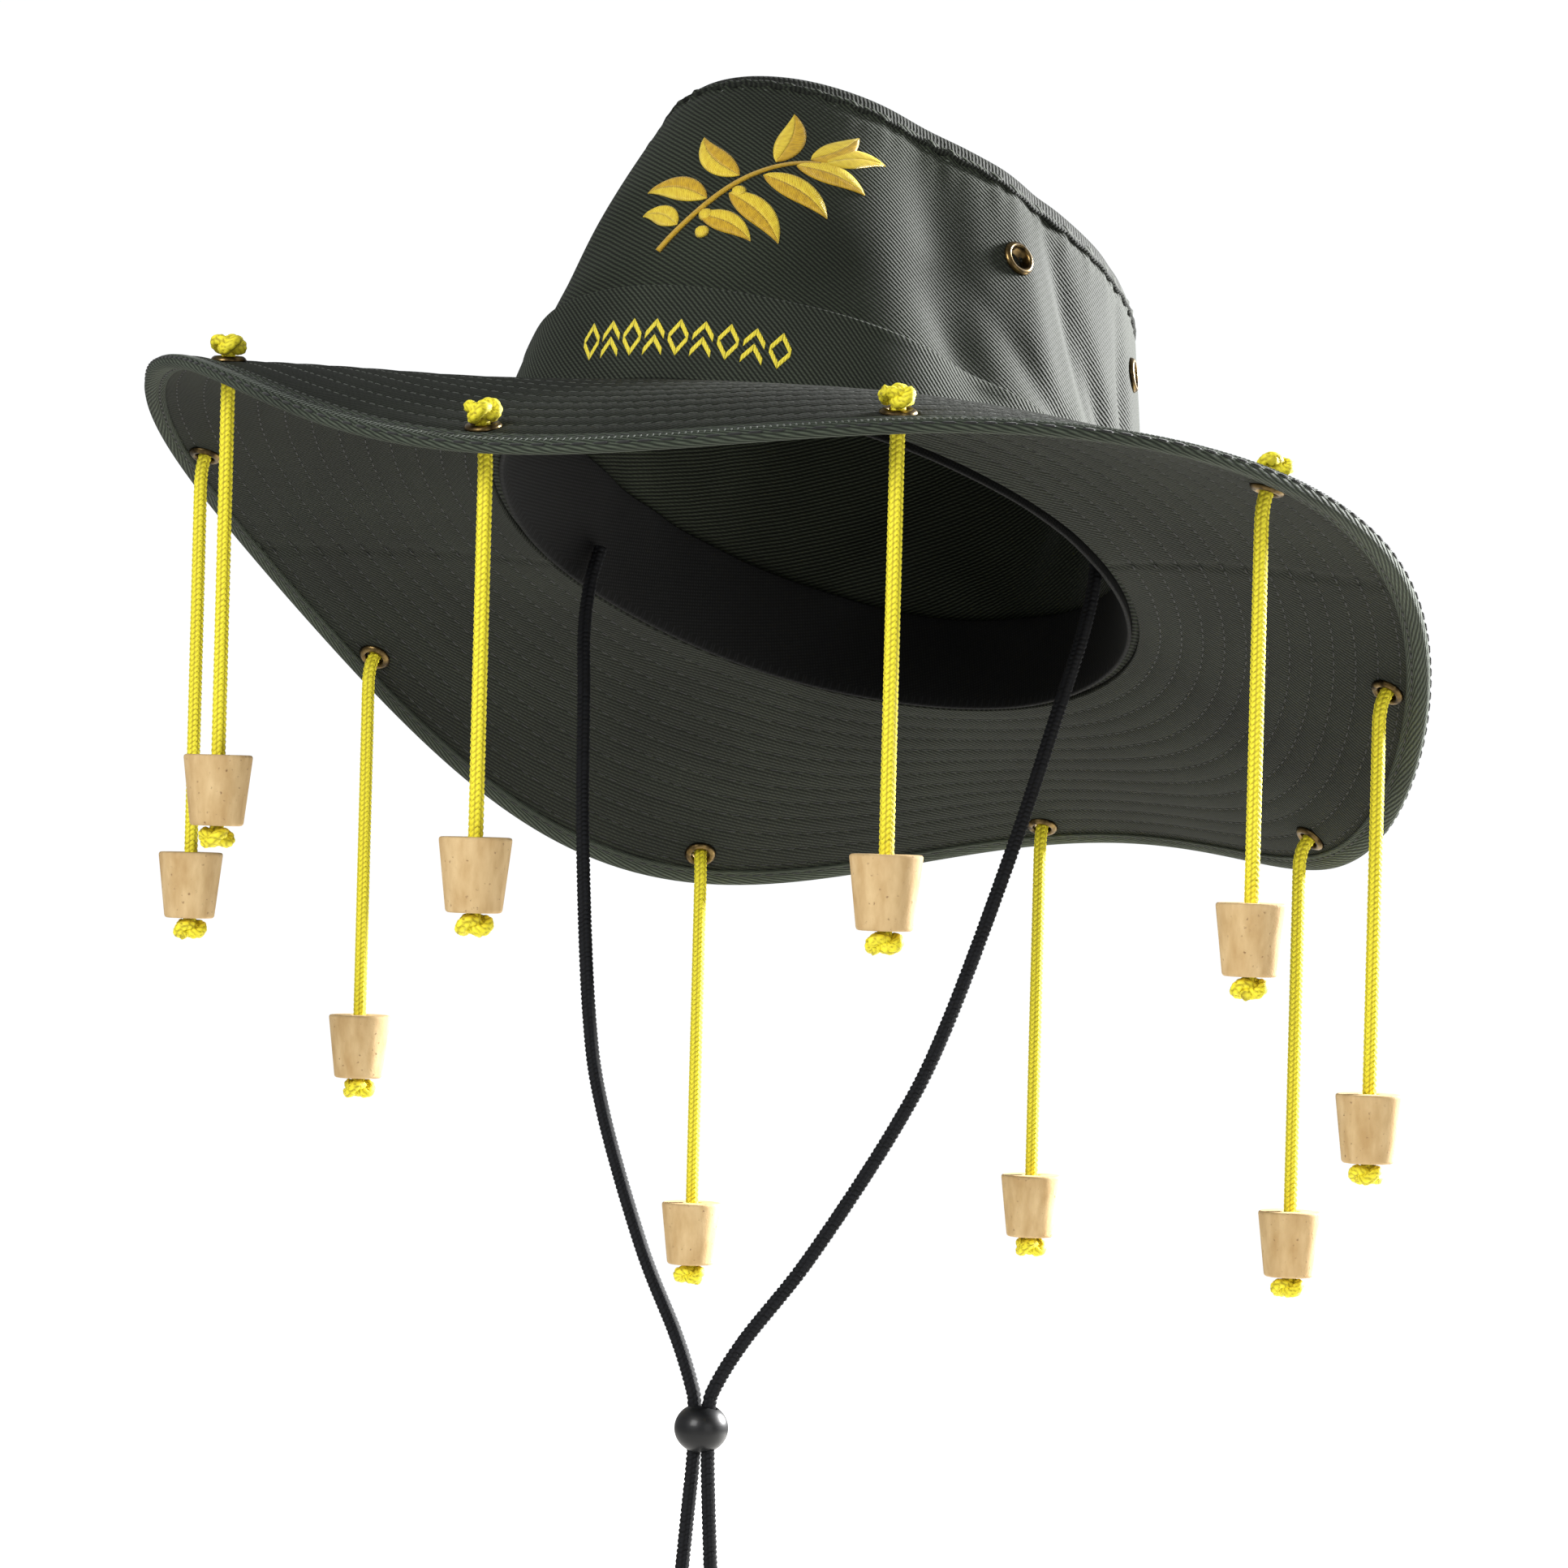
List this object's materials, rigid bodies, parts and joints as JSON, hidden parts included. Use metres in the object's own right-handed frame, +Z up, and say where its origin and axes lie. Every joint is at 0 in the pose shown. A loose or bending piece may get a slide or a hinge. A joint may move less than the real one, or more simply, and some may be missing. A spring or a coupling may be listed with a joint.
{
  "type": "bush hat with hanging corks",
  "caption": "Wide-brimmed cloth bush hat with a creased crown, vent eyelets, tapered corks hanging on cords from the brim, and a chin cord with a sliding bead.",
  "frame": {"origin": "middle of the head opening, where the head holds the hat", "axes": "+Z up, the front of the hat faces -Y, +X towards the wearer's left; the hat is tipped back 21.5 degrees as worn"},
  "size_m": [0.3461, 0.3511, 0.3877],
  "materials": {
    "twill": "matte dark green cotton twill",
    "edge_tape": "folded twill tape",
    "sweatband": "black cotton band",
    "eyelet_brass": "antique brass",
    "yellow_cord": "bright yellow braided polyester",
    "cork": "natural cork, fine pores",
    "chin_cord": "black braided cord",
    "bead": "gloss black"
  },
  "bodies": {
    "root": {"crown_wall": "twill", "crown_tip": "twill", "hat_band": "twill", "brim": "twill", "brim_binding": "edge_tape", "sweatband": "sweatband", "crown_eyelet_1": "eyelet_brass", "crown_eyelet_2": "eyelet_brass", "crown_eyelet_3": "eyelet_brass", "crown_eyelet_4": "eyelet_brass", "brim_eyelet_1": "eyelet_brass", "brim_eyelet_2": "eyelet_brass", "brim_eyelet_3": "eyelet_brass", "brim_eyelet_4": "eyelet_brass", "brim_eyelet_5": "eyelet_brass", "brim_eyelet_6": "eyelet_brass", "brim_eyelet_7": "eyelet_brass", "brim_eyelet_8": "eyelet_brass", "brim_eyelet_9": "eyelet_brass", "brim_eyelet_10": "eyelet_brass", "cork_cord_1": "yellow_cord", "cork_cord_2": "yellow_cord", "cork_cord_3": "yellow_cord", "cork_cord_4": "yellow_cord", "cork_cord_5": "yellow_cord", "cork_cord_6": "yellow_cord", "cork_cord_7": "yellow_cord", "cork_cord_8": "yellow_cord", "cork_cord_9": "yellow_cord", "cork_cord_10": "yellow_cord", "cork_1": "cork", "cork_2": "cork", "cork_3": "cork", "cork_4": "cork", "cork_5": "cork", "cork_6": "cork", "cork_7": "cork", "cork_8": "cork", "cork_9": "cork", "cork_10": "cork", "chin_cord_left": "chin_cord", "chin_cord_right": "chin_cord", "chin_bead": "bead"}
  },
  "joints": []
}
